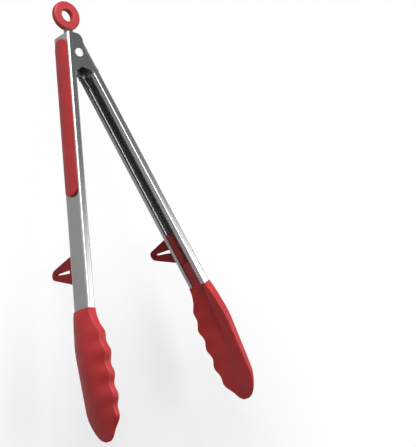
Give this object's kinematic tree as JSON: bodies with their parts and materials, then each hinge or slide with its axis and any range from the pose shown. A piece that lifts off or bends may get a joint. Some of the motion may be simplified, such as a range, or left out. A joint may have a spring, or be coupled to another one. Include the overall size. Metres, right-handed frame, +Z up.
{
  "type": "kitchen tongs",
  "caption": "Spring loaded kitchen tongs with steel channel arms, red silicone scoop heads, soft grips, clip-on stand feet and a pull ring that locks them shut.",
  "frame": {"origin": "middle of the box's footprint on the surface that the open tongs lie on", "axes": "+Y towards the pull ring and the hinge, with the heads towards -Y; +X from the outer arm to the inner arm, the way the tongs open; +Z up, square to the surface, with the tongs leaning on both stand feet and the hinge end"},
  "size_m": [0.1402, 0.3177, 0.0663],
  "materials": {
    "steel": "satin",
    "bright_steel": "polished",
    "sleeve_steel": "satin",
    "spring_steel": "drawn wire",
    "plate_steel": "satin",
    "grip_rubber": "soft touch",
    "silicone": "matte",
    "nylon": "moulded",
    "foot_nylon": "moulded",
    "ring_plastic": "semi-gloss"
  },
  "bodies": {
    "outer_arm": {"left_arm": "steel", "left_grip": "grip_rubber", "left_head": "silicone", "left_core": "nylon", "left_foot": "foot_nylon", "pivot_rivet": "bright_steel", "return_spring": "spring_steel"},
    "inner_arm": {"right_arm": "steel", "right_grip": "grip_rubber", "right_head": "silicone", "right_core": "nylon", "right_foot": "foot_nylon"},
    "lock_guide": {"pivot_sleeve": "sleeve_steel"},
    "lock": {"lock_plate": "plate_steel", "pull_ring": "ring_plastic"}
  },
  "joints": [
    {"name": "arm_hinge", "type": "hinge", "parent": "outer_arm", "child": "inner_arm", "pos_m": [0, 0.11477, 0.01157], "axis": [0, -0.1434, -0.9897], "range_deg": [0, 27], "stiffness_Nm_per_rad": 0.4, "springref_deg": -28.65, "deforming": ["return_spring"]},
    {"name": "lock_lean", "type": "hinge", "parent": "outer_arm", "child": "lock_guide", "pos_m": [0, 0.11477, 0.01157], "axis": [0, -0.1434, -0.9897], "range_deg": [0, 3.6]},
    {"name": "ring_pull", "type": "slide", "parent": "lock_guide", "child": "lock", "axis": [0.1736, 0.9746, -0.1412], "range_m": [0, 0.007]}
  ],
  "couplings": [
    {"joint": "lock_lean", "follows": "arm_hinge", "ratio": 0.12963}
  ]
}
